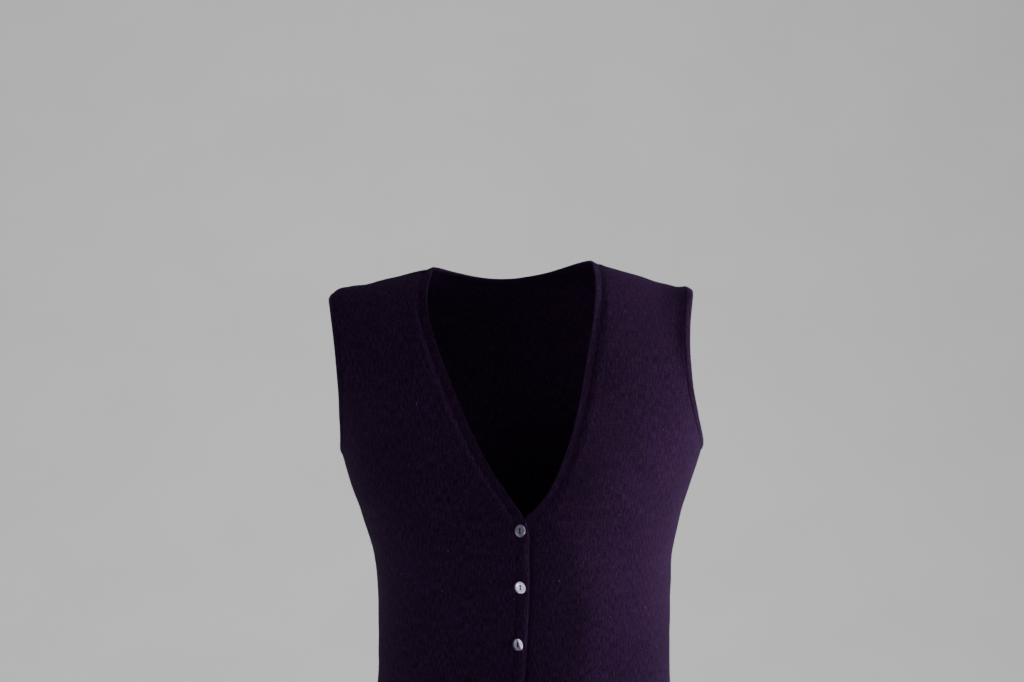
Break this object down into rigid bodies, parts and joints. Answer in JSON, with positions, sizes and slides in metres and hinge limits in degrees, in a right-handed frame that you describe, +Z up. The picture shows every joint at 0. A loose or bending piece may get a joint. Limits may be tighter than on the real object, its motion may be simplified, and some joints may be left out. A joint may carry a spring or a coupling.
{
  "type": "sweater vest",
  "caption": "Women's fine-knit sweater vest in its worn, hollow form: deep V neck, buttoned front, narrow doubled bands round the neck, front and armholes.",
  "frame": {"origin": "midway between the two shoulder seams at the neck, where the wearer's shoulders hold the vest up", "axes": "+Z up the body, -Y the way the buttoned front faces, +X towards the wearer's left"},
  "size_m": [0.3775, 0.2467, 0.5698],
  "materials": {
    "knit": "felted fine knit in heathered dark aubergine, soft nap",
    "band_knit": "doubled fine knit in the same yarn, a little smoother",
    "shell": "polished mother-of-pearl, satin"
  },
  "bodies": {
    "root": {"front_right": "knit", "front_left": "knit", "back": "knit", "band_right": "band_knit", "band_left": "band_knit", "band_back_neck": "band_knit", "armband_right": "band_knit", "armband_left": "band_knit", "button_1": "shell", "button_2": "shell", "button_3": "shell", "button_4": "shell", "button_5": "shell", "button_6": "shell"}
  },
  "joints": []
}
